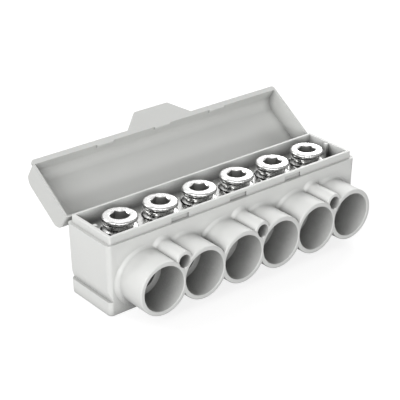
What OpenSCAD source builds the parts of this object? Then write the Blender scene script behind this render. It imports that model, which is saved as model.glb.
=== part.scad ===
// Six-way cable distribution block. One moulded housing carries a row of six large cable
// tubes and three slim test tubes, holds a common terminal bar with six hexagon-socket
// clamp screws, and is covered by a snap lid on a film hinge.
// Millimetres. X runs along the row of ways, the cable tubes face -Y and Z is up.
// The origin is the centre of the housing's flat base. The lid is drawn open.

/* [Cable tubes] */
// Inside radius of a cable tube
port_r = 10.5; // [8.5:0.1:12]
// Plastic left between neighbouring cable bores
port_web = 1.0; // [0.8:0.1:4]
// Wall of a cable tube
tube_wall = 2.1; // [1.2:0.1:3]
// Height of the tubes' underside above the base
tube_foot = 3.1; // [2.6:0.1:6]
// How far the tubes stand out of the front wall
tube_out = 16.1; // [6:0.5:30]
// Thickness of the step at the bottom of a cable tube
step_t = 2.6; // [1.6:0.1:4]
// Radius that blends a tube into the front wall
root_r = 2.0; // [0.6:0.1:2.2]
// Rounding of a tube's outer mouth edge
mouth_r = 0.7; // [0.2:0.1:0.9]
// Chamfer inside a cable tube's mouth
mouth_cham = 0.25; // [0.1:0.05:0.35]

/* [Test tubes] */
// Inside radius of a test tube
test_r = 3.0; // [2:0.1:3.6]
// Wall of a test tube
test_wall = 1.4; // [0.8:0.1:1.8]
// Plastic left between a test bore and its two neighbouring cable bores
test_web = 1.05; // [0.9:0.05:2]
// How far the test tubes stop short of the cable tubes' mouths
test_short = 0.3; // [0.1:0.1:6]

/* [Housing] */
// Inside width of the housing, front to back
cavity_w = 25.4; // [22:0.2:30]
// From the last way's centre to the inside of the end wall
end_room = 14.0; // [13:0.2:24]
// Thickness of the floor
floor_t = 2.5; // [1.5:0.1:4]
// Height of the rim above the terminal bar
rim_over_bar = 6.0; // [5:0.1:12]
// Wall of the rim that the lid closes over
rim_wall = 1.5; // [1.2:0.1:2.5]
// Height of that rim above the shoulder that the lid sits on
rim_h = 3.4; // [3:0.1:4.5]
// Draft of the outer walls, in degrees
draft = 1.1; // [0.2:0.1:1.6]
// Radius of the upright corners
corner_r = 2.15; // [1.8:0.05:3]
// Rounding of the bottom edges
base_r = 0.8; // [0.5:0.1:1.7]
// Rounding of the rim's outer top edge
rim_r = 0.5; // [0.2:0.1:0.7]
// Depth of the pocket at each end of the bar
end_pocket = 2.0; // [1.5:0.1:4]
// Thickness of the upright rib in each end pocket
rib_t = 1.8; // [1:0.1:4]
// How far the ribs stop below the rim
rib_drop = 0.3; // [0.1:0.1:2]

/* [End grooves] */
// Height of the sharp lip under each end groove
groove_z = 7.0; // [3:0.5:9]
// Height of a groove from its lip to where it runs out
groove_h = 5.5; // [4:0.5:7]
// Depth of a groove
groove_d = 1.7; // [0.8:0.1:2]
// Upright step between the lip and the sloping face
groove_flat = 0.4; // [0.1:0.1:1]

/* [Terminal bar] */
// Height of the terminal bar
bar_h = 29.5; // [28.5:0.5:36]
// Gap between the bar and the housing walls
bar_gap = 0.15; // [0.05:0.05:0.4]
// Radius of the conductor bores
wire_r = 7.1; // [5:0.1:7.6]
// How much wider the hole in the tube's step is than the conductor bore
wire_lead = 0.3; // [0.1:0.1:0.8]
// Chamfer along the bar's top edges and around the screw holes
bar_cham = 0.5; // [0.2:0.1:0.8]

/* [Clamp screws] */
// Outside radius of a clamp screw
screw_r = 8.0; // [6.5:0.1:8.8]
// Length of a clamp screw
screw_l = 14.5; // [11:0.5:18]
// Running clearance between a screw and its hole
screw_clear = 0.08; // [0.04:0.01:0.1]
// How far a screw's top stands above the rim
screw_over_rim = 0.6; // [-4:0.1:3]
// How far the screw holes run below the conductor bores
dimple = 0.5; // [0.2:0.1:1.5]
// Width across the flats of the hexagon socket
hex_af = 8; // [5:0.5:9]
// Depth of the hexagon socket
hex_depth = 8; // [4:0.5:9]
// Angle that the sockets are drawn at
hex_turn = 21; // [0:1:60]
// Height of the plain ring at a screw's top
ring_h = 1.9; // [1.5:0.1:3]
// Rounding of that ring's top edge
ring_r = 0.8; // [0.4:0.1:1.0]
// Length of the neck under the ring
neck_l = 0.8; // [0.6:0.1:1.5]
// Depth of that neck
neck_d = 0.9; // [0.3:0.1:1.1]
// Chamfer at a screw's tip
tip_cham = 1.2; // [0.5:0.1:2]

/* [Lid] */
// Wall of the lid's skirt
lid_wall = 1.0; // [0.8:0.1:1.6]
// Thickness of the lid's top
lid_top = 1.4; // [1:0.1:2.4]
// Depth of the lid from its rim to the outside of its top
lid_depth = 11.7; // [10.5:0.1:20]
// Radius of the lid's two long outer edges
lid_edge_r = 5.5; // [2.5:0.1:7]
// Radius of the lid's upright corners
lid_corner_r = 1.2; // [0.6:0.1:1.9]
// How far the closed lid stands back from each end wall
end_ledge = 0.6; // [0.2:0.1:1.5]
// Gap between the closed lid and the rim
lid_gap = 0.2; // [0.16:0.02:0.4]
// Gap between the closed lid and the shoulder
lid_seat = 0.1; // [0.05:0.05:0.3]
// Angle that the lid is drawn open at
lid_open = 146.8; // [90:0.2:180]
// How far the hinge line lies behind the rear wall
hinge_out = 0.5; // [0.4:0.05:0.8]
// Height of the hinge line above the shoulder
hinge_up = 0.6; // [0.4:0.05:0.9]
// Thickness of the film where it meets the lid
film_t = 0.4; // [0.3:0.05:0.6]
// Height of the film's foot on the rear wall
film_foot = 0.7; // [0.4:0.05:1.2]
// How far the film stops short of each end
film_short = 4; // [1:0.5:20]

/* [Latch and tab] */
// Width of a latch nub
nub_w = 9.0; // [4:0.5:14]
// How far a nub stands out of the skirt
nub_out = 0.85; // [0.6:0.05:1.0]
// Height of a nub
nub_h = 1.8; // [1.2:0.1:2]
// Clearance between a nub and its pocket, below and in front
latch_clear = 0.1; // [0.05:0.05:0.3]
// Clearance between a nub and its pocket, above and beside
latch_side = 0.3; // [0.1:0.1:0.8]
// How far the brim along the lid's front edge stands out
lip_out = 1.5; // [0.8:0.1:2.5]
// Length of the finger tab where it leaves the lid
tab_base = 40.5; // [28:0.5:60]
// Length of the finger tab at its outer edge
tab_end = 21.25; // [14:0.25:26]
// How far the finger tab stands out
tab_out = 9.9; // [5:0.1:14]
// Thickness of the brim and the finger tab
tab_t = 1.4; // [1:0.1:2.4]
// Radius of the finger tab's outer corners
tab_r = 1.5; // [1:0.1:3.5]

/* [Hidden] */

$fn = 64;
hull_fn = 32;
// Overlap that joins or cuts cleanly
e = 0.5;
// Straight pieces that stand for a quarter round in a turned outline
arc_steps = 4;

// The row
ways = 6;
pitch = 2*port_r + port_web;
way_x = [for (i = [0:ways - 1]) (i - (ways - 1)/2)*pitch];
// Test tubes stand between the ways of each pair
test_x = [for (i = [0:2:ways - 2]) (way_x[i] + way_x[i + 1])/2];
latch_x = [way_x[1], 0, way_x[ways - 2]];

// Walls from the inside out
cav_x = way_x[ways - 1] + end_room;
cav_y = cavity_w/2;
rim_x = cav_x + rim_wall;
rim_y = cav_y + rim_wall;
lid_x = rim_x + lid_gap + lid_wall;
out_x = lid_x + end_ledge;
out_y = rim_y + lid_gap + lid_wall;

// Heights
bar_top = floor_t + bar_h;
rim_z = bar_top + rim_over_bar;
shoulder_z = rim_z - rim_h;
tube_r = port_r + tube_wall;
port_z = tube_foot + tube_r;
test_reach = port_r + test_web + test_r;
test_z = port_z + sqrt(test_reach*test_reach - pitch*pitch/4);
groove_top = groove_z + groove_h;
// Plastic kept over the end grooves, where the end pockets stop
groove_cover = 1.5;
pocket_z = groove_top + groove_cover;

// Depths along Y, counted forwards from the middle
mouth_y = out_y + tube_out;
step_y = cav_y + step_t;
port_depth = mouth_y - step_y;
test_mouth_y = mouth_y - test_short;
// Tubes start inside the front wall
tube_y0 = cav_y + rim_wall/2;

// Terminal bar and screws
bar_x = cav_x - end_pocket;
bar_y = cav_y - bar_gap;
rib_gap = 0.2;
screw_top = rim_z + screw_over_rim;
screw_tip = screw_top - screw_l;
hole_floor = port_z - wire_r - dimple;

// Closed lid
lid_z = shoulder_z + lid_seat;
lid_roof = lid_z + lid_depth;
skirt_y = out_y - lid_wall;
skirt_x = lid_x - lid_wall;
hinge_y = out_y + hinge_out;
hinge_z = shoulder_z + hinge_up;
pocket_d = nub_out - lid_gap + latch_clear;
latch_top = lid_z + nub_h + latch_side;

// How far the outer walls have drawn in at height z
function drawn_in(z) = (shoulder_z - z)*tan(draft);
// A point of the closed lid, turned open about the hinge line
function opened(y, z) = [
    hinge_y + (y - hinge_y)*cos(lid_open) + (z - hinge_z)*sin(lid_open),
    hinge_z - (y - hinge_y)*sin(lid_open) + (z - hinge_z)*cos(lid_open)
];
// Hollow and full quarter rounds in a turned outline of [radius, height]
function hollow_arc(r, f, h) =
    [for (i = [0:arc_steps]) let (a = 90*i/arc_steps) [r + f - f*sin(a), h + f - f*cos(a)]];
function full_arc(r, f, h) =
    [for (i = [0:arc_steps]) let (a = 90*i/arc_steps) [r - f + f*cos(a), h - f + f*sin(a)]];

// Stands its children's Z axis forwards, towards -Y, from depth y
module forwards(x, y, z) translate([x, -y, z]) rotate([90, 0, 0]) children();

// Four upright corner posts of a rounded outline
module posts(hx, hy, r, z, h) {
    for (sx = [-1, 1], sy = [-1, 1])
        translate([sx*(hx - r), sy*(hy - r), z]) cylinder(h = h, r = r, $fn = hull_fn);
}

// Outer shell up to the shoulder, drafted, with rounded corners and bottom edges
module body_shell() {
    skin = 0.01;
    hull() {
        posts(out_x, out_y, corner_r, shoulder_z - skin, skin);
        for (i = [0:arc_steps]) {
            a = 90*i/arc_steps;
            inset = base_r*(1 - cos(a));
            z = base_r*(1 - sin(a));
            d = drawn_in(z) + inset;
            posts(out_x - d, out_y - d, corner_r - inset, z, skin);
        }
    }
}

// Rim that the lid closes over, soft along its top
module rim_shell() {
    skin = 0.01;
    r = corner_r - lid_gap - lid_wall;
    hull() {
        posts(rim_x, rim_y, r, shoulder_z - e, skin);
        for (i = [0:arc_steps]) {
            a = 90*i/arc_steps;
            inset = rim_r*(1 - cos(a));
            z = rim_z - rim_r*(1 - sin(a)) - skin;
            posts(rim_x - inset, rim_y - inset, r - inset*r/(rim_r + r), z, skin);
        }
    }
}

// A turned tube blank with a blended root and a rounded mouth
module tube_blank(r, length, root_h, f) {
    rotate_extrude()
        polygon(concat(
            [[0, 0], [r + f, 0]],
            hollow_arc(r, f, root_h),
            full_arc(r, mouth_r, length),
            [[0, length]]
        ));
}

module tubes() {
    root_h = out_y - drawn_in(port_z) - tube_y0;
    for (x = way_x)
        forwards(x, tube_y0, port_z) tube_blank(tube_r, mouth_y - tube_y0, root_h, root_r);
    test_root_h = out_y - drawn_in(test_z) - tube_y0;
    for (x = test_x)
        forwards(x, tube_y0, test_z)
            tube_blank(test_r + test_wall, test_mouth_y - tube_y0, test_root_h, root_r);
}

// Cable bores down to their step, the conductor holes behind them and the test bores
module tube_bores() {
    for (x = way_x) {
        forwards(x, step_y, port_z) cylinder(h = port_depth + e, r = port_r);
        forwards(x, mouth_y - mouth_cham, port_z)
            cylinder(h = 2*mouth_cham, r1 = port_r, r2 = port_r + 2*mouth_cham);
        forwards(x, cav_y - e, port_z) cylinder(h = step_t + 2*e, r = wire_r + wire_lead);
    }
    for (x = test_x)
        forwards(x, cav_y - e, test_z) cylinder(h = mouth_y - cav_y + 2*e, r = test_r);
}

// Room for the terminal bar, with a wider pocket above it at each end
module cavity() {
    low_x = bar_x + bar_gap;
    translate([-low_x, -cav_y, floor_t]) cube([2*low_x, 2*cav_y, rim_z]);
    translate([-cav_x, -cav_y, pocket_z]) cube([2*cav_x, 2*cav_y, rim_z]);
}

// Undercut along each end wall: a slope that ends above a sharp lip
module end_grooves() {
    deep = out_x - drawn_in(groove_z) - groove_d;
    run = out_x - drawn_in(groove_top) - deep;
    rise = groove_h - groove_flat;
    far = out_x + e;
    for (s = [0, 1]) mirror([s, 0, 0])
        translate([0, out_y + e, 0]) rotate([90, 0, 0])
            linear_extrude(height = 2*out_y + 2*e)
                polygon([
                    [deep, groove_z],
                    [far, groove_z],
                    [far, groove_z + groove_flat + rise*(far - deep)/run],
                    [deep, groove_z + groove_flat]
                ]);
}

// Pockets in the rim's front face that the lid's nubs snap into
module latch_pockets() {
    w = nub_w + 2*latch_side;
    for (x = latch_x)
        translate([x - w/2, -rim_y - e, shoulder_z]) cube([w, pocket_d + e, latch_top - shoulder_z]);
}

module end_ribs() {
    out = end_pocket - rib_gap;
    for (s = [0, 1]) mirror([s, 0, 0])
        translate([cav_x - out, -rib_t/2, pocket_z - e])
            cube([out + e, rib_t, rim_z - rib_drop - pocket_z + e]);
}

module housing() {
    color("gainsboro") {
        difference() {
            union() {
                body_shell();
                rim_shell();
                tubes();
            }
            cavity();
            tube_bores();
            end_grooves();
            latch_pockets();
        }
        end_ribs();
    }
}

// Common bar: a conductor bore and a screw hole for each way
module terminal_bar() {
    color("silver")
        difference() {
            translate([-bar_x, 0, 0]) rotate([90, 0, 90])
                linear_extrude(height = 2*bar_x)
                    polygon([
                        [-bar_y, floor_t],
                        [bar_y, floor_t],
                        [bar_y, bar_top - bar_cham],
                        [bar_y - bar_cham, bar_top],
                        [-bar_y + bar_cham, bar_top],
                        [-bar_y, bar_top - bar_cham]
                    ]);
            for (x = way_x) {
                forwards(x, -bar_y - e, port_z) cylinder(h = 2*bar_y + 2*e, r = wire_r);
                translate([x, 0, hole_floor])
                    cylinder(h = bar_top - hole_floor + e, r = screw_r + screw_clear);
                translate([x, 0, bar_top - bar_cham])
                    cylinder(
                        h = 2*bar_cham,
                        r1 = screw_r + screw_clear,
                        r2 = screw_r + screw_clear + 2*bar_cham
                    );
            }
        }
}

// Clamp screw: a plain ring with a rounded top, a neck, and a full-diameter shank
module clamp_screw(i) {
    neck_top = screw_l - ring_h;
    neck_low = neck_top - neck_l;
    // Slope of the neck's two flanks
    flank = neck_l/3;
    color("whitesmoke")
        translate([way_x[i], 0, screw_tip])
            difference() {
                rotate_extrude()
                    polygon(concat(
                        [
                            [0, 0],
                            [screw_r - tip_cham, 0],
                            [screw_r, tip_cham],
                            [screw_r, neck_low],
                            [screw_r - neck_d, neck_low + flank],
                            [screw_r - neck_d, neck_top - flank],
                            [screw_r, neck_top]
                        ],
                        full_arc(screw_r, ring_r, screw_l),
                        [[0, screw_l]]
                    ));
                translate([0, 0, screw_l - hex_depth]) rotate([0, 0, hex_turn])
                    cylinder(h = hex_depth + e, r = hex_af/sqrt(3), $fn = 6);
            }
}

// Cross-section of the lid at half-width hy, with edge radius r and height h
module lid_section(hy, r, h) {
    translate([-hy, 0]) square([2*hy, h - r]);
    translate([-hy + r, 0]) square([2*hy - 2*r, h]);
    for (s = [-1, 1]) translate([s*(hy - r), h - r]) circle(r = r);
}

// Outline of the lid seen from above, with rounded corners
module lid_plan() {
    r = lid_corner_r;
    translate([-lid_x + r, -out_y]) square([2*lid_x - 2*r, 2*out_y]);
    translate([-lid_x, -out_y + r]) square([2*lid_x, 2*out_y - 2*r]);
    for (sx = [-1, 1], sy = [-1, 1]) translate([sx*(lid_x - r), sy*(out_y - r)]) circle(r = r);
}

// A bar of the lid's cross-section, half-length hx, standing on height z
module lid_bar(hx, z) {
    translate([-hx, 0, z]) rotate([90, 0, 90]) linear_extrude(height = 2*hx) children();
}

module lid_tray() {
    difference() {
        intersection() {
            lid_bar(lid_x, lid_z) lid_section(out_y, lid_edge_r, lid_depth);
            translate([0, 0, lid_z]) linear_extrude(height = lid_depth) lid_plan();
        }
        lid_bar(skirt_x, lid_z - e)
            lid_section(skirt_y, lid_edge_r - lid_wall, lid_depth - lid_top + e);
    }
}

// Nubs inside the skirt's free edge, sloped so that they ride over the rim
module lid_nubs() {
    lead = nub_h/3;
    for (x = latch_x)
        translate([x - nub_w/2, -skirt_y, lid_z]) rotate([90, 0, 90])
            linear_extrude(height = nub_w)
                polygon([
                    [-lid_wall/2, 0],
                    [nub_out - lead/2, 0],
                    [nub_out, lead],
                    [nub_out, nub_h - lead],
                    [0, nub_h],
                    [-lid_wall/2, nub_h]
                ]);
}

// Brim along the free edge of the front skirt, rounded at its ends
module lid_brim() {
    r = lip_out;
    translate([0, 0, lid_z]) linear_extrude(height = tab_t)
        intersection() {
            translate([-lid_x, -out_y - r]) square([2*lid_x, r + lid_wall/2]);
            union() {
                translate([-lid_x + r, -out_y - r]) square([2*lid_x - 2*r, 2*r]);
                for (s = [-1, 1]) translate([s*(lid_x - r), -out_y]) circle(r = r);
            }
        }
}

// Finger tab, level with the lid's rim
module lid_tab() {
    translate([0, -out_y, lid_z]) linear_extrude(height = tab_t)
        hull() {
            translate([-tab_base/2, 0]) square([tab_base, lid_wall/2]);
            for (s = [-1, 1])
                translate([s*(tab_end/2 - tab_r), -tab_out + tab_r]) circle(r = tab_r, $fn = hull_fn);
        }
}

module lid() {
    color("whitesmoke")
        translate([0, hinge_y, hinge_z]) rotate([-lid_open, 0, 0]) translate([0, -hinge_y, -hinge_z]) {
            lid_tray();
            lid_nubs();
            lid_brim();
            lid_tab();
        }
}

// Thin film from the top of the rear wall to the lid's rear edge, as the lid is drawn
module film_hinge() {
    lid_near = opened(out_y, lid_z);
    lid_far = opened(out_y, lid_z + film_t);
    half = lid_x - film_short;
    color("whitesmoke")
        translate([-half, 0, 0]) rotate([90, 0, 90]) linear_extrude(height = 2*half)
            polygon([
                [out_y - drawn_in(shoulder_z - film_foot), shoulder_z - film_foot],
                lid_far,
                lid_near,
                [out_y, shoulder_z]
            ]);
}

housing();
terminal_bar();
lid();
film_hinge();
clamp_screw(0);  // clamp_screw_1
clamp_screw(1);  // clamp_screw_2
clamp_screw(2);  // clamp_screw_3
clamp_screw(3);  // clamp_screw_4
clamp_screw(4);  // clamp_screw_5
clamp_screw(5);  // clamp_screw_6
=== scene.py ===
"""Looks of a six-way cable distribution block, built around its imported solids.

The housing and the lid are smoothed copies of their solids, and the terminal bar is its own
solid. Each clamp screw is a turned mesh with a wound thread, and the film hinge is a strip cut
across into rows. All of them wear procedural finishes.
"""

import logging
import math
from dataclasses import dataclass
from enum import Enum

import bmesh
import bpy
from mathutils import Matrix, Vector


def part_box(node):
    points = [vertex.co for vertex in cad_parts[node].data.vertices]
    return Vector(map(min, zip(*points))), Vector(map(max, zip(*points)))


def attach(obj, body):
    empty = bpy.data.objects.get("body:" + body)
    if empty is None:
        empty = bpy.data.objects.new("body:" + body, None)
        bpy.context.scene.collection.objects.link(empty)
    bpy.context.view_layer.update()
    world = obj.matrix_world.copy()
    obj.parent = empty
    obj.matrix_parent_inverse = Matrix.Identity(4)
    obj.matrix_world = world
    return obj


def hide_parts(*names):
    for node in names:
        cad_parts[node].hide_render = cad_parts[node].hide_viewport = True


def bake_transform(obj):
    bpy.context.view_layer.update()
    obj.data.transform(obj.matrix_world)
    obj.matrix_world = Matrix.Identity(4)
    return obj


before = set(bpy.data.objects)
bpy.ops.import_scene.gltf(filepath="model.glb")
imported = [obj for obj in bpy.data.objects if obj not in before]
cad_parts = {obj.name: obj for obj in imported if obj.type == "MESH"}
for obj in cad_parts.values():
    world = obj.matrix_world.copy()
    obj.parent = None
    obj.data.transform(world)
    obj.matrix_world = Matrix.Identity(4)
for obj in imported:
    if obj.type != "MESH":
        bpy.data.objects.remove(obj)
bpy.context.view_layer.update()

LOG = logging.getLogger("distribution_block")
MM = 0.001
MERGE = 1e-7
NOISE_SPAN = (0.3, 0.7)
# Spans and samples of the painted shade in creases and hollows.
CREASE_SHADE_SPAN = (0.3, 0.92)
BORE_SHADE_SPAN = (0.05, 0.44)
CREASE_SHADE_SAMPLES = 8

HOUSING_GREY = (0.69, 0.695, 0.68)
# Painted shade: the lid and film are the housing's plastic painted darker.
SHADED_LID_GREY = (0.6, 0.605, 0.59)
TIN = (0.88, 0.88, 0.87)
STEEL = (0.66, 0.66, 0.65)
# Painted light and shade: lighter steel for the screw tops, darker steel for the ring sides and
# socket insides.
LIT_TOP_STEEL = (0.86, 0.86, 0.85)
SHADED_RING_SIDE_STEEL = (0.4, 0.4, 0.395)
SHADED_SOCKET_STEEL = (0.5, 0.5, 0.49)

Colour = tuple[float, float, float]
Point = tuple[float, float, float]
Span = tuple[float, float]
Sockets = bpy.types.bpy_prop_collection


class Slot(Enum):
    """Names of the record's material slots."""

    HOUSING = "housing_plastic"
    LID = "lid_plastic"
    SCREW = "screw_metal"


class Body(Enum):
    """Names of the bodies that pieces ride on."""

    BASE = "base"
    LID = "lid"


@dataclass(frozen=True)
class Grain:
    """One fine relief of a finish: noise cells per metre, strength and depth in metres."""

    scale: float
    strength: float
    depth: float
    detail: float = 2.0
    along: Point | None = None


class Shader:
    """A small writer for one material's nodes."""

    def __init__(self, name: str) -> None:
        """Starts an empty material with a Principled shader.

        Args:
            name: The material's name.
        """
        self.material = bpy.data.materials.new(name)
        self.material.use_nodes = True
        self.tree = self.material.node_tree
        self.tree.nodes.clear()
        out = self.tree.nodes.new("ShaderNodeOutputMaterial")
        self.surface = self.tree.nodes.new("ShaderNodeBsdfPrincipled")
        self.join(self.surface.outputs["BSDF"], out.inputs["Surface"])
        self.place = self.tree.nodes.new("ShaderNodeTexCoord").outputs["Object"]

    def join(self, source: bpy.types.NodeSocket, target: bpy.types.NodeSocket) -> None:
        """Links one socket to another."""
        self.tree.links.new(source, target)

    def stretched(self, scale: Point) -> bpy.types.NodeSocket:
        """Object coordinates scaled per axis.

        Args:
            scale: Scale along each axis.

        Returns:
            The scaled vector's socket.
        """
        node = self.tree.nodes.new("ShaderNodeMapping")
        node.inputs["Scale"].default_value = scale
        self.join(self.place, node.inputs["Vector"])
        return node.outputs["Vector"]

    def noise(
        self,
        scale: float,
        detail: float = 3.0,
        along: Point | None = None,
    ) -> bpy.types.NodeSocket:
        """Adds noise on object coordinates.

        Args:
            scale: Cells per metre.
            detail: Octaves.
            along: Stretch per axis, or None.

        Returns:
            The noise factor's socket.
        """
        node = self.tree.nodes.new("ShaderNodeTexNoise")
        node.inputs["Scale"].default_value = scale
        node.inputs["Detail"].default_value = detail
        self.join(self.stretched(along) if along else self.place, node.inputs["Vector"])
        return node.outputs["Fac"]

    def spread(
        self,
        source: bpy.types.NodeSocket,
        low: float,
        high: float,
        span: Span = NOISE_SPAN,
    ) -> bpy.types.NodeSocket:
        """Maps a factor from its usual span to low..high.

        Args:
            source: The factor.
            low: Value at the bottom of the span.
            high: Value at the top.
            span: The factor's usual span.

        Returns:
            The mapped value's socket.
        """
        node = self.tree.nodes.new("ShaderNodeMapRange")
        node.inputs["From Min"].default_value = span[0]
        node.inputs["From Max"].default_value = span[1]
        node.inputs["To Min"].default_value = low
        node.inputs["To Max"].default_value = high
        self.join(source, node.inputs["Value"])
        return node.outputs["Result"]

    def tint(
        self,
        factor: bpy.types.NodeSocket,
        low: Colour,
        high: Colour | bpy.types.NodeSocket,
    ) -> None:
        """Mixes two colours by a factor into the base colour.

        Args:
            factor: The factor's socket.
            low: The colour at factor 0.
            high: The colour at factor 1, or the socket that gives it.
        """
        node = self.tree.nodes.new("ShaderNodeMix")
        node.data_type = "RGBA"
        first, second = (socket for socket in node.inputs if socket.type == "RGBA")
        first.default_value = (*low, 1.0)
        if isinstance(high, bpy.types.NodeSocket):
            self.join(high, second)
        else:
            second.default_value = (*high, 1.0)
        self.join(factor, node.inputs["Factor"])
        result = next(socket for socket in node.outputs if socket.type == "RGBA")
        self.join(result, self.surface.inputs["Base Color"])

    def paint_crease_shade(self, reach: float, deep: Colour, span: Span = CREASE_SHADE_SPAN) -> None:
        """Paints shade into the base colour, turning it darker in creases.

        Args:
            reach: How far round a point other surfaces count, in metres.
            deep: The colour of the painted shade at the bottom of a crease.
            span: Openness at the bottom of a crease and in the open.
        """
        plain = self.surface.inputs["Base Color"].links[0].from_socket
        around = self.tree.nodes.new("ShaderNodeAmbientOcclusion")
        around.samples = CREASE_SHADE_SAMPLES
        around.inputs["Distance"].default_value = reach
        # Painted shade: ambient occlusion turns the base colour darker where other surfaces are
        # close.
        self.tint(self.spread(around.outputs["AO"], 0.0, 1.0, span), deep, plain)

    def roughen(self, scale: float, low: float, high: float) -> None:
        """Lets the roughness wander between two values.

        Args:
            scale: Noise cells per metre.
            low: The smoothest value.
            high: The roughest.
        """
        wander = self.spread(self.noise(scale), low, high)
        self.join(wander, self.surface.inputs["Roughness"])

    def bump(self, grains: tuple[Grain, ...]) -> None:
        """Chains fine reliefs into the shader's normal.

        Args:
            grains: The reliefs, from the broadest on.
        """
        normal = None
        for grain in grains:
            height = self.noise(grain.scale, grain.detail, grain.along)
            node = self.tree.nodes.new("ShaderNodeBump")
            node.inputs["Strength"].default_value = grain.strength
            node.inputs["Distance"].default_value = grain.depth
            self.join(height, node.inputs["Height"])
            if normal is not None:
                self.join(normal, node.inputs["Normal"])
            normal = node.outputs["Normal"]
        self.join(normal, self.surface.inputs["Normal"])


def shade(colour: Colour, factor: float) -> Colour:
    """Scales a colour by a factor."""
    return tuple(min(1.0, c * factor) for c in colour)


def grey(level: float) -> tuple[float, float, float, float]:
    """Opaque grey of one level."""
    return (level, level, level, 1.0)


@dataclass(frozen=True)
class MouldedPlastic:
    """Fine satin moulded plastic with a faint flow mottle, an eroded-mould grain and painted
    shade in creases and bores.
    """

    name: str
    colour: Colour
    refraction: float = 1.49
    sheen_level: float = 0.42
    roughness: float = 0.46
    roughness_swing: float = 0.05
    roughness_scale: float = 420.0
    mottle: float = 0.025
    mottle_scale: float = 38.0
    # Painted shade: reach and tone of the darkening in creases and in the bores and cavity.
    crease_shade_reach: float = 0.005
    crease_shade_tone: float = 0.6
    bore_shade_reach: float = 0.03
    bore_shade_tone: float = 0.12
    relief: tuple[Grain, ...] = (Grain(60.0, 0.15, 0.0002), Grain(2600.0, 0.25, 0.00003))

    def material(self) -> bpy.types.Material:
        """Builds the finish.

        Returns:
            Its material.
        """
        s = Shader(self.name)
        s.surface.inputs["IOR"].default_value = self.refraction
        s.surface.inputs["Specular IOR Level"].default_value = self.sheen_level
        darker = shade(self.colour, 1 - self.mottle)
        lighter = shade(self.colour, 1 + self.mottle)
        s.tint(s.noise(self.mottle_scale), darker, lighter)
        # Painted shade in creases, then darker painted shade in the bores and cavity.
        s.paint_crease_shade(self.crease_shade_reach, shade(self.colour, self.crease_shade_tone))
        s.paint_crease_shade(self.bore_shade_reach, shade(self.colour, self.bore_shade_tone), BORE_SHADE_SPAN)
        low, high = self.roughness - self.roughness_swing, self.roughness + self.roughness_swing
        s.roughen(self.roughness_scale, low, high)
        s.bump(self.relief)
        return s.material


@dataclass(frozen=True)
class PlatedSteel:
    """Bright plated steel with fine turning marks around the screw's axis and painted shade in
    the thread's roots.
    """

    name: str
    colour: Colour
    roughness: float
    smoother: float = 0.05
    rougher: float = 0.07
    roughness_scale: float = 900.0
    stain_tone: float = 0.93
    stain_scale: float = 300.0
    # Painted shade: reach and tone of the darkening in the thread's roots and other creases.
    crease_shade_reach: float = 0.0032
    crease_shade_tone: float = 0.12
    relief: tuple[Grain, ...] = (
        Grain(1.0, 0.22, 0.00004, along=(260.0, 260.0, 5200.0)),
        Grain(1500.0, 0.1, 0.00002),
    )

    def material(self) -> bpy.types.Material:
        """Builds the finish.

        Returns:
            Its material.
        """
        s = Shader(self.name)
        s.surface.inputs["Metallic"].default_value = 1.0
        s.tint(s.noise(self.stain_scale), shade(self.colour, self.stain_tone), self.colour)
        # Painted shade in creases.
        s.paint_crease_shade(self.crease_shade_reach, shade(self.colour, self.crease_shade_tone))
        low, high = self.roughness - self.smoother, self.roughness + self.rougher
        s.roughen(self.roughness_scale, low, high)
        s.bump(self.relief)
        return s.material


@dataclass(frozen=True)
class TinnedAluminium:
    """Tinned extruded bar, drawn along its length."""

    name: str
    colour: Colour
    roughness: float
    smoother: float = 0.08
    rougher: float = 0.1
    roughness_scale: float = 500.0
    stain_tone: float = 0.88
    stain_scale: float = 140.0
    relief: tuple[Grain, ...] = (Grain(1.0, 0.3, 0.00003, along=(90.0, 2600.0, 2600.0)),)

    def material(self) -> bpy.types.Material:
        """Builds the finish.

        Returns:
            Its material.
        """
        s = Shader(self.name)
        s.surface.inputs["Metallic"].default_value = 1.0
        s.tint(s.noise(self.stain_scale), shade(self.colour, self.stain_tone), self.colour)
        low, high = self.roughness - self.smoother, self.roughness + self.rougher
        s.roughen(self.roughness_scale, low, high)
        s.bump(self.relief)
        return s.material


def dress(piece: bpy.types.Object, material: bpy.types.Material) -> None:
    """Gives a piece one material in its only slot."""
    piece.data.materials.clear()
    piece.data.materials.append(material)


def soften(mesh: bpy.types.Mesh, angle_deg: float = 34.0) -> None:
    """Shades a mesh smooth.

    Args:
        mesh: The mesh.
        angle_deg: Edges that turn further than this stay sharp.
    """
    mesh.polygons.foreach_set("use_smooth", [True] * len(mesh.polygons))
    mesh.set_sharp_from_angle(angle=math.radians(angle_deg))
    mesh.update()


def show(name: str, mesh: bpy.types.Mesh) -> bpy.types.Object:
    """Links a new object at the origin for a mesh.

    Args:
        name: The piece's name.
        mesh: Its mesh, in the row frame.

    Returns:
        The linked object.
    """
    piece = bpy.data.objects.new(name, mesh)
    bpy.context.scene.collection.objects.link(piece)
    return piece


def settle(piece: bpy.types.Object, modifier: bpy.types.Modifier) -> None:
    """Turns a piece's only modifier into plain mesh.

    Args:
        piece: The piece that carries it.
        modifier: The modifier.
    """
    graph = bpy.context.evaluated_depsgraph_get()
    made = bpy.data.meshes.new_from_object(piece.evaluated_get(graph))
    piece.modifiers.remove(modifier)
    old = piece.data
    piece.data = made
    bpy.data.meshes.remove(old)


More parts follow.
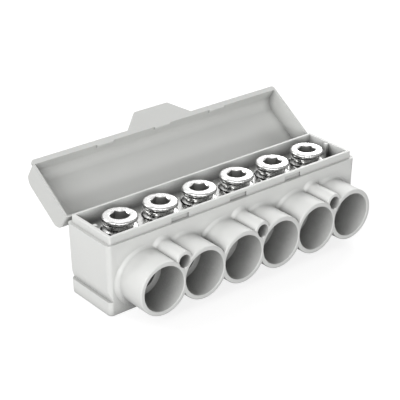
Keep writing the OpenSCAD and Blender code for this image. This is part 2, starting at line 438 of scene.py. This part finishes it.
def merged_copy(node: str, name: str, sharp_deg: float = 42.0) -> bpy.types.Object:
    """Closed copy of a CAD solid whose curves shade smooth.

    Args:
        node: The CAD node.
        name: The copy's name.
        sharp_deg: Edges that turn further than this stay sharp.

    Returns:
        The copy, which stands for the node.
    """
    bm = bmesh.new()
    bm.from_mesh(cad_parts[node].data)
    bmesh.ops.remove_doubles(bm, verts=bm.verts, dist=MERGE)
    mesh = bpy.data.meshes.new(name)
    bm.to_mesh(mesh)
    bm.free()
    if "custom_normal" in mesh.attributes:
        mesh.attributes.remove(mesh.attributes["custom_normal"])
    soften(mesh, sharp_deg)
    piece = show(name, mesh)
    even = piece.modifiers.new("even shading", "WEIGHTED_NORMAL")
    even.mode = "FACE_AREA"
    even.keep_sharp = True
    settle(piece, even)
    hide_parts(node)
    return piece


class Tree:
    """A small writer for one Geometry Nodes tree."""

    def __init__(self, name: str) -> None:
        """Starts a tree with a geometry input and output.

        Args:
            name: The tree's name.
        """
        self.tree = bpy.data.node_groups.new(name, "GeometryNodeTree")
        for way in ("INPUT", "OUTPUT"):
            self.tree.interface.new_socket(
                "Geometry", in_out=way, socket_type="NodeSocketGeometry"
            )

    def size(self, name: str, kind: str = "NodeSocketFloat") -> None:
        """Adds a named input."""
        self.tree.interface.new_socket(name, in_out="INPUT", socket_type=kind)

    def begin(self) -> Sockets:
        """Adds the input node once all inputs are named, and returns their sockets."""
        return self.tree.nodes.new("NodeGroupInput").outputs

    def node(self, kind: str, **values: object) -> bpy.types.Node:
        """Adds a node.

        Args:
            kind: Its type.
            **values: Its properties.

        Returns:
            The node.
        """
        made = self.tree.nodes.new(kind)
        for name, value in values.items():
            setattr(made, name, value)
        return made

    def join(self, source: bpy.types.NodeSocket, target: bpy.types.NodeSocket) -> None:
        """Links one socket to another."""
        self.tree.links.new(source, target)

    def calc(
        self,
        how: str,
        first: bpy.types.NodeSocket | float,
        second: bpy.types.NodeSocket | float,
    ) -> bpy.types.NodeSocket:
        """Adds a Math node.

        Args:
            how: Its operation.
            first: Its first value, a socket or a number.
            second: Its second.

        Returns:
            The result's socket.
        """
        made = self.node("ShaderNodeMath", operation=how)
        for socket, value in zip(made.inputs, (first, second)):
            if isinstance(value, (int, float)):
                socket.default_value = value
            else:
                self.join(value, socket)
        return made.outputs[0]

    def vector(self, **parts: bpy.types.NodeSocket) -> bpy.types.NodeSocket:
        """Joins sockets into a vector.

        Args:
            **parts: The sockets by axis, X, Y or Z.

        Returns:
            The vector's socket.
        """
        made = self.node("ShaderNodeCombineXYZ")
        for axis, value in parts.items():
            self.join(value, made.inputs[axis])
        return made.outputs[0]

    def finish(self, geometry: bpy.types.NodeSocket, material: bpy.types.NodeSocket) -> None:
        """Ends the tree in Realize Instances and Set Material.

        Args:
            geometry: The finished geometry.
            material: The socket that gives its material.
        """
        real = self.node("GeometryNodeRealizeInstances")
        paint = self.node("GeometryNodeSetMaterial")
        out = self.node("NodeGroupOutput")
        self.join(geometry, real.inputs[0])
        self.join(real.outputs[0], paint.inputs["Geometry"])
        self.join(material, paint.inputs["Material"])
        self.join(paint.outputs[0], out.inputs[0])

    def apply(self, piece: bpy.types.Object, values: dict[str, object]) -> None:
        """Runs the tree on a piece and leaves it as a plain mesh.

        Args:
            piece: The piece.
            values: The inputs by name.
        """
        modifier = piece.modifiers.new(self.tree.name, "NODES")
        modifier.node_group = self.tree
        for item in self.tree.interface.items_tree:
            if item.item_type == "SOCKET" and item.in_out == "INPUT" and item.name in values:
                modifier[item.identifier] = values[item.name]
        settle(piece, modifier)


@dataclass
class Housing:
    """Moulded housing with its tubes, in the place of its own solid."""

    finish: MouldedPlastic

    def build(self) -> None:
        """Smooths and dresses the housing."""
        piece = merged_copy("housing", "moulded_housing")
        dress(piece, self.finish.material())
        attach(piece, Body.BASE.value)
        LOG.info("housing built, %d faces", len(piece.data.polygons))


@dataclass
class TerminalBar:
    """Common bar under the clamp screws."""

    finish: TinnedAluminium

    def build(self) -> None:
        """Dresses the bar."""
        dress(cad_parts["terminal_bar"], self.finish.material())
        LOG.info("terminal bar dressed")


@dataclass
class ClampScrews:
    """Six clamp screws with a turned ring, a hexagon socket and a coarse thread."""

    finish: PlatedSteel
    lit_top_finish: PlatedSteel
    shaded_side_finish: PlatedSteel
    shaded_socket_finish: PlatedSteel
    count: int = 6
    sides: int = 96
    radius: float = 8.0 * MM
    root: float = 6.4 * MM
    tip_chamfer: float = 1.2 * MM
    ring_height: float = 1.95 * MM
    ring_round: float = 1.25 * MM
    ring_under: float = 0.3 * MM
    edge_steps: int = 6
    face_drop: float = 0.2 * MM
    across_flats: float = 8.0 * MM
    socket_depth: float = 8.0 * MM
    socket_mouth: float = 4.72 * MM
    socket_turn: float = 21.0
    socket_slope: float = 40.0
    mouth_drop: float = 0.45 * MM
    floor_drop: float = 0.6 * MM
    floor_share: float = 0.4
    crest_radius: float = 7.92 * MM
    sunk: float = 0.05 * MM
    pitch: float = 3.0 * MM
    crest: float = 0.35 * MM
    foot: float = 2.2 * MM
    run_out: float = 0.35
    smallest_share: float = 0.05
    turn_steps: int = 72
    first_crest: float = 1.7 * MM
    last_crest: float = 1.85 * MM
    last_angle: float = -21.0

    def socket_radius(self, angle: float) -> float:
        """Distance from the axis to the hexagon's wall in one direction.

        Args:
            angle: Direction from the first corner, in radians.

        Returns:
            The distance in metres.
        """
        return self.across_flats / 2 / math.cos((angle % math.radians(60)) - math.radians(30))

    def outline(self, tip: float, top: float) -> list[Span]:
        """Outline of the screw's outside from its tip to the ring's top edge.

        Args:
            tip: Height of its tip.
            top: Height of its top.

        Returns:
            Pairs of radius and height.
        """
        ring = top - self.ring_height
        over, under = self.ring_round, self.ring_under
        turns = [math.radians(90 * i / self.edge_steps) for i in range(self.edge_steps + 1)]
        quarter = [(math.cos(a), math.sin(a)) for a in turns]
        chamfer = [(self.root - self.tip_chamfer, tip), (self.root, tip + self.tip_chamfer)]
        foot = [(self.radius - under * (1 - s), ring + under * (1 - c)) for c, s in quarter]
        edge = [(self.radius - over * (1 - c), top - over * (1 - s)) for c, s in quarter]
        return [*chamfer, (self.root, ring), *foot, *edge]

    def rows(self, tip: float, top: float, directions: list[float]) -> list[list[Span]]:
        """Rings of points over the whole body, from its tip round to the socket's floor.

        Args:
            tip: Height of its tip.
            top: Height of its top.
            directions: The points' directions from the first corner, in radians.

        Returns:
            For each ring its points' radius and height.
        """
        slope = math.tan(math.radians(self.socket_slope))
        walls = [self.socket_radius(a) for a in directions]
        floor = top - self.socket_depth
        return [
            *([point] * self.sides for point in self.outline(tip, top)),
            [(self.socket_mouth, top)] * self.sides,
            [(w, top - (self.socket_mouth - w) * slope) for w in walls],
            [(w, floor) for w in walls],
            [(self.floor_share * w, floor - self.floor_drop) for w in walls],
        ]

    def core(self, x: float, tip: float, top: float) -> bpy.types.Mesh:
        """Turned body of one screw with its hexagon socket.

        Args:
            x: Place of its axis along the row.
            tip: Height of its tip.
            top: Height of its top.

        Returns:
            A closed mesh.
        """
        turn = math.radians(self.socket_turn)
        directions = [2 * math.pi * i / self.sides for i in range(self.sides)]
        bm = bmesh.new()
        rings = [
            [
                bm.verts.new((x + r * math.cos(a + turn), r * math.sin(a + turn), z))
                for a, (r, z) in zip(directions, row)
            ]
            for row in self.rows(tip, top, directions)
        ]
        for low, high in zip(rings, rings[1:]):
            for i in range(self.sides):
                j = (i + 1) % self.sides
                bm.faces.new((low[i], low[j], high[j], high[i]))
        bm.faces.new(list(reversed(rings[0])))
        bm.faces.new(rings[-1])
        bmesh.ops.recalc_face_normals(bm, faces=bm.faces)
        mesh = bpy.data.meshes.new("screw core")
        bm.to_mesh(mesh)
        bm.free()
        return mesh

    def thread_path(self, t: Tree, given: Sockets) -> bpy.types.NodeSocket:
        """Adds the helix that the thread follows.

        Args:
            t: The tree.
            given: The tree's inputs.

        Returns:
            The helix's socket.
        """
        spiral = t.node("GeometryNodeCurveSpiral")
        spiral.inputs["Resolution"].default_value = self.turn_steps
        spiral.inputs["Reverse"].default_value = True
        t.join(given["Turns"], spiral.inputs["Rotations"])
        t.join(given["Root Radius"], spiral.inputs["Start Radius"])
        t.join(given["Root Radius"], spiral.inputs["End Radius"])
        t.join(t.calc("MULTIPLY", given["Turns"], given["Pitch"]), spiral.inputs["Height"])
        upright = t.node("GeometryNodeSetCurveNormal", mode="Z_UP")
        t.join(spiral.outputs[0], upright.inputs["Curve"])
        return upright.outputs[0]

    def thread_share(self, t: Tree, given: Sockets) -> bpy.types.NodeSocket:
        """Adds the share of the full section along the helix, which runs out at both ends.

        Args:
            t: The tree.
            given: The tree's inputs.

        Returns:
            The share's socket.
        """
        along = t.node("GeometryNodeSplineParameter").outputs["Factor"]
        to_end = t.calc("MINIMUM", along, t.calc("SUBTRACT", 1.0, along))
        share = t.calc("DIVIDE", t.calc("MULTIPLY", to_end, given["Turns"]), given["Run Out"])
        return t.calc("MAXIMUM", self.smallest_share, t.calc("MINIMUM", share, 1.0))

    def thread_section(self, t: Tree, given: Sockets) -> bpy.types.NodeSocket:
        """Adds the thread's section, a trapezoid whose foot stands on the helix.

        Args:
            t: The tree.
            given: The tree's inputs.

        Returns:
            The section's socket.
        """
        section = t.node("GeometryNodeCurvePrimitiveQuadrilateral", mode="TRAPEZOID")
        t.join(given["Depth"], section.inputs["Height"])
        t.join(given["Foot"], section.inputs["Bottom Width"])
        t.join(given["Crest"], section.inputs["Top Width"])
        section.inputs["Offset"].default_value = 0.0
        turned = t.node("GeometryNodeTransform")
        turned.inputs["Rotation"].default_value = (0.0, 0.0, math.radians(-90))
        outward = t.vector(X=t.calc("MULTIPLY", given["Depth"], 0.5))
        t.join(section.outputs[0], turned.inputs["Geometry"])
        t.join(outward, turned.inputs["Translation"])
        return turned.outputs[0]

    def thread_tree(self) -> Tree:
        """Nodes that wind a thread round a screw's body.

        Returns:
            The tree.
        """
        t = Tree("clamp screw thread")
        for name in self.thread_sizes(0.0, 0.0, 1.0):
            t.size(name)
        t.size("Metal", "NodeSocketMaterial")
        given = t.begin()
        sweep = t.node("GeometryNodeCurveToMesh")
        sweep.inputs["Fill Caps"].default_value = True
        t.join(self.thread_path(t, given), sweep.inputs["Curve"])
        t.join(self.thread_section(t, given), sweep.inputs["Profile Curve"])
        t.join(self.thread_share(t, given), sweep.inputs["Scale"])
        placed = t.node("GeometryNodeTransform")
        t.join(sweep.outputs[0], placed.inputs["Geometry"])
        t.join(t.vector(Z=given["Lead"]), placed.inputs["Rotation"])
        t.join(t.vector(X=given["Axis"], Z=given["Start"]), placed.inputs["Translation"])
        both = t.node("GeometryNodeJoinGeometry")
        t.join(placed.outputs[0], both.inputs[0])
        t.join(given["Geometry"], both.inputs[0])
        t.finish(both.outputs[0], given["Metal"])
        return t

    def thread_sizes(self, x: float, tip: float, top: float) -> dict[str, float]:
        """Inputs of the thread's nodes for one screw.

        Args:
            x: Place of its axis along the row.
            tip: Height of its tip.
            top: Height of its top.

        Returns:
            The inputs by name.
        """
        start = tip + self.first_crest
        turns = (top - self.last_crest - start) / self.pitch
        return {
            "Root Radius": self.root - self.sunk,
            "Depth": self.crest_radius - self.root + self.sunk,
            "Pitch": self.pitch,
            "Turns": turns,
            "Crest": self.crest,
            "Foot": self.foot,
            "Run Out": self.run_out,
            "Lead": math.radians(self.last_angle - 360 * turns),
            "Axis": x,
            "Start": start,
        }

    def paint_ring_light_and_shade(
        self,
        piece: bpy.types.Object,
        x: float,
        top: float,
        finishes: list[bpy.types.Material],
    ) -> None:
        """Paints light and shade: a lighter steel on the ring's top and darker steels on its side
        and inside the socket.

        Args:
            piece: The screw.
            x: Place of its axis along the row.
            top: Height of its top.
            finishes: The lit top's, the shaded side's and the shaded socket's.
        """
        first = len(piece.data.materials)
        for finish in finishes:
            piece.data.materials.append(finish)
        for face in piece.data.polygons:
            reach = math.hypot(face.center.x - x, face.center.y)
            drop = top - face.center.z
            # Masks of the painted light: socket inside darker, top lighter, ring side darker.
            if reach < self.socket_mouth and drop > self.mouth_drop:
                face.material_index = first + 2
            elif drop < self.face_drop:
                face.material_index = first
            elif drop < self.ring_height - self.ring_under and reach > self.root:
                face.material_index = first + 1

    def build(self) -> None:
        """Builds and dresses the six screws, each on its own body."""
        metal = self.finish.material()
        # Painted light: the lit top's steel and the shaded steels of the ring's side and the
        # socket.
        finishes = (self.lit_top_finish, self.shaded_side_finish, self.shaded_socket_finish)
        lit_and_shaded_metals = [finish.material() for finish in finishes]
        tree = self.thread_tree()
        for number in range(1, self.count + 1):
            node = f"clamp_screw_{number}"
            low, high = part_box(node)
            x, tip, top = (low.x + high.x) / 2, low.z, high.z
            piece = show(f"clamp_screw_steel_{number}", self.core(x, tip, top))
            tree.apply(piece, {**self.thread_sizes(x, tip, top), "Metal": metal})
            soften(piece.data)
            self.paint_ring_light_and_shade(piece, x, top, lit_and_shaded_metals)
            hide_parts(node)
            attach(piece, f"screw_{number}")
            LOG.info("clamp screw %d built, %d faces", number, len(piece.data.polygons))


@dataclass
class Lid:
    """Snap lid with its nubs and finger tab, in the place of its own solid."""

    finish: MouldedPlastic

    def build(self) -> None:
        """Smooths and dresses the lid."""
        piece = merged_copy("lid", "snap_lid")
        dress(piece, self.finish.material())
        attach(piece, Body.LID.value)
        LOG.info("lid built, %d faces", len(piece.data.polygons))


@dataclass
class FilmHinge:
    """Film that bends between the rear wall and the lid."""

    finish: MouldedPlastic
    rows: int = 8
    digits: int = 6

    def strip(self) -> bpy.types.Mesh:
        """Closed strip in the place of the film's solid, cut across into rows.

        Returns:
            The strip's mesh.
        """
        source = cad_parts["film_hinge"].data
        corners = {tuple(round(c, self.digits) for c in v.co.yz) for v in source.vertices}
        corners = sorted(corners, key=lambda corner: corner[1])
        xs = [v.co.x for v in source.vertices]
        bm = bmesh.new()
        lines = []
        for x in (min(xs), max(xs)):
            for a, b in zip(corners[:2], corners[2:]):
                steps = [Vector(a).lerp(Vector(b), i / self.rows) for i in range(self.rows + 1)]
                lines.append([bm.verts.new((x, p.x, p.y)) for p in steps])
        under_l, over_l, under_r, over_r = lines
        for i in range(self.rows):
            bm.faces.new((under_l[i], under_l[i + 1], under_r[i + 1], under_r[i]))
            bm.faces.new((over_l[i], over_l[i + 1], over_r[i + 1], over_r[i]))
            bm.faces.new((under_l[i], under_l[i + 1], over_l[i + 1], over_l[i]))
            bm.faces.new((under_r[i], under_r[i + 1], over_r[i + 1], over_r[i]))
        for i in (0, self.rows):
            bm.faces.new((under_l[i], under_r[i], over_r[i], over_l[i]))
        bmesh.ops.recalc_face_normals(bm, faces=bm.faces)
        mesh = bpy.data.meshes.new("film")
        bm.to_mesh(mesh)
        bm.free()
        return mesh

    def build(self) -> None:
        """Builds, dresses and smooths the film in the place of its solid."""
        piece = show("film_hinge_strip", self.strip())
        dress(piece, self.finish.material())
        soften(piece.data)
        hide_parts("film_hinge")
        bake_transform(piece)
        LOG.info("film hinge built")


@dataclass(frozen=True)
class Lamp:
    """A soft rectangular lamp: its place, width and height, power in watts and aim."""

    name: str
    place: Point
    size: Span
    power: float
    aim: Point = (0.0, 0.0, 0.02)

    def hang(self) -> None:
        """Adds the lamp to the scene."""
        data = bpy.data.lights.new(self.name, "AREA")
        data.shape = "RECTANGLE"
        data.size, data.size_y = self.size
        data.energy = self.power
        lamp = bpy.data.objects.new(self.name, data)
        lamp.location = self.place
        toward = Vector(self.aim) - Vector(self.place)
        lamp.rotation_euler = toward.to_track_quat("-Z", "Y").to_euler()
        bpy.context.scene.collection.objects.link(lamp)


@dataclass
class Studio:
    """Camera, lamps, pale floor and white background of the photograph."""

    place: Point = (-0.3411, -0.4080, 0.2915)
    yaw: float = 39.02
    dip: float = 26.33
    lens: float = 116.8
    sensor: float = 36.0
    clip: Span = (0.02, 20.0)
    world_light: float = 0.05
    floor_size: float = 6.0
    floor_seen: float = 0.32
    floor_glow: float = 0.8
    floor_bounce: float = 0.3
    lamps: tuple[Lamp, ...] = (
        Lamp("left", (-1.1, -0.25, 0.5), (0.6, 0.6), 6.6),
        Lamp("left rear", (-0.6, 0.8, 0.75), (0.6, 0.6), 6.2),
        Lamp("top", (0.0, 0.0, 1.25), (0.7, 0.7), 2.0),
        Lamp("right rear", (0.9, 0.5, 0.7), (0.6, 0.6), 9.3),
        Lamp("left front", (-0.75, -0.9, 0.34), (0.5, 0.5), 5.6),
        Lamp("low front", (-0.2, -1.15, 0.2), (0.6, 0.2), 3.8),
    )

    def camera(self) -> None:
        """Sets the camera at the photograph's angle."""
        data = bpy.data.cameras.new("photo camera")
        data.sensor_width = self.sensor
        data.lens = self.lens
        data.clip_start, data.clip_end = self.clip
        camera = bpy.data.objects.new("photo camera", data)
        camera.location = self.place
        camera.rotation_euler = (math.radians(90 - self.dip), 0.0, math.radians(-self.yaw))
        bpy.context.scene.collection.objects.link(camera)
        bpy.context.scene.camera = camera

    def combine(
        self,
        tree: bpy.types.NodeTree,
        how: str,
        first: bpy.types.NodeSocket,
        second: bpy.types.NodeSocket,
    ) -> bpy.types.NodeSocket:
        """Joins two sockets by a clamped Math node.

        Args:
            tree: The tree that it stands in.
            how: The operation.
            first: Its first value.
            second: Its second value.

        Returns:
            The result's socket.
        """
        node = tree.nodes.new("ShaderNodeMath")
        node.operation = how
        node.use_clamp = True
        tree.links.new(first, node.inputs[0])
        tree.links.new(second, node.inputs[1])
        return node.outputs[0]

    def background(self, tree: bpy.types.NodeTree, strength: float) -> bpy.types.NodeSocket:
        """Adds a white background.

        Args:
            tree: The world's tree.
            strength: Its strength.

        Returns:
            Its socket.
        """
        node = tree.nodes.new("ShaderNodeBackground")
        node.inputs["Color"].default_value = grey(1.0)
        node.inputs["Strength"].default_value = strength
        return node.outputs[0]

    def diffuse(self, tree: bpy.types.NodeTree, level: float) -> bpy.types.NodeSocket:
        """Adds a matt grey.

        Args:
            tree: The floor material's tree.
            level: Its level.

        Returns:
            Its socket.
        """
        node = tree.nodes.new("ShaderNodeBsdfDiffuse")
        node.inputs["Color"].default_value = grey(level)
        return node.outputs[0]

    def world(self) -> None:
        """White background for the camera and direct reflections, and a mild light otherwise."""
        world = bpy.data.worlds.new("studio")
        bpy.context.scene.world = world
        world.use_nodes = True
        tree = world.node_tree
        tree.nodes.clear()
        out = tree.nodes.new("ShaderNodeOutputWorld")
        ray = tree.nodes.new("ShaderNodeLightPath").outputs
        mix = tree.nodes.new("ShaderNodeMixShader")
        clear = self.combine(tree, "MAXIMUM", ray["Is Glossy Ray"], ray["Is Transmission Ray"])
        direct = self.combine(tree, "SUBTRACT", clear, ray["Diffuse Depth"])
        shown = self.combine(tree, "MAXIMUM", ray["Is Camera Ray"], direct)
        tree.links.new(shown, mix.inputs[0])
        tree.links.new(self.background(tree, self.world_light), mix.inputs[1])
        tree.links.new(self.background(tree, 1.0), mix.inputs[2])
        tree.links.new(mix.outputs[0], out.inputs["Surface"])

    def floor_material(self) -> bpy.types.Material:
        """Near-white material that still shows a faint shadow, and bounces less than it shows.

        Returns:
            The floor's material.
        """
        material = bpy.data.materials.new("studio floor")
        material.use_nodes = True
        tree = material.node_tree
        tree.nodes.clear()
        out = tree.nodes.new("ShaderNodeOutputMaterial")
        glow = tree.nodes.new("ShaderNodeEmission")
        glow.inputs["Strength"].default_value = self.floor_glow
        both = tree.nodes.new("ShaderNodeAddShader")
        ray = tree.nodes.new("ShaderNodeLightPath").outputs
        seen = self.combine(tree, "MAXIMUM", ray["Is Camera Ray"], ray["Is Glossy Ray"])
        mix = tree.nodes.new("ShaderNodeMixShader")
        tree.links.new(self.diffuse(tree, self.floor_seen), both.inputs[0])
        tree.links.new(glow.outputs[0], both.inputs[1])
        tree.links.new(seen, mix.inputs[0])
        tree.links.new(self.diffuse(tree, self.floor_bounce), mix.inputs[1])
        tree.links.new(both.outputs[0], mix.inputs[2])
        tree.links.new(mix.outputs[0], out.inputs["Surface"])
        return material

    def floor(self) -> None:
        """Lays the pale floor under the object."""
        half = self.floor_size / 2
        mesh = bpy.data.meshes.new("floor")
        corners = [(-half, -half, 0.0), (half, -half, 0.0), (half, half, 0.0), (-half, half, 0.0)]
        mesh.from_pydata(corners, [], [(0, 1, 2, 3)])
        floor = show("studio_floor", mesh)
        dress(floor, self.floor_material())

    def build(self) -> None:
        """Sets up the whole studio."""
        bpy.context.scene.view_settings.view_transform = "Standard"
        self.camera()
        self.world()
        self.floor()
        for lamp in self.lamps:
            lamp.hang()
        LOG.info("studio set")


def main() -> None:
    """Builds the block."""
    logging.basicConfig(level=logging.INFO, format="%(message)s")
    Studio().build()
    Housing(MouldedPlastic("housing grey", HOUSING_GREY)).build()
    TerminalBar(TinnedAluminium("tinned bar", TIN, 0.2)).build()
    ClampScrews(
        finish=PlatedSteel("plated screw", STEEL, 0.24),
        # Painted light and shade: lighter steel on the ring's top, darker steel on its side and
        # inside the socket.
        lit_top_finish=PlatedSteel("screw top painted lighter", LIT_TOP_STEEL, 0.26),
        shaded_side_finish=PlatedSteel("ring side painted darker", SHADED_RING_SIDE_STEEL, 0.26),
        shaded_socket_finish=PlatedSteel("socket inside", SHADED_SOCKET_STEEL, 0.35),
    ).build()
    # Painted shade: the lid and film wear the housing's plastic painted darker.
    Lid(MouldedPlastic("lid plastic painted darker", SHADED_LID_GREY)).build()
    FilmHinge(MouldedPlastic("film plastic painted darker", SHADED_LID_GREY)).build()


if __name__ == "__main__":
    main()
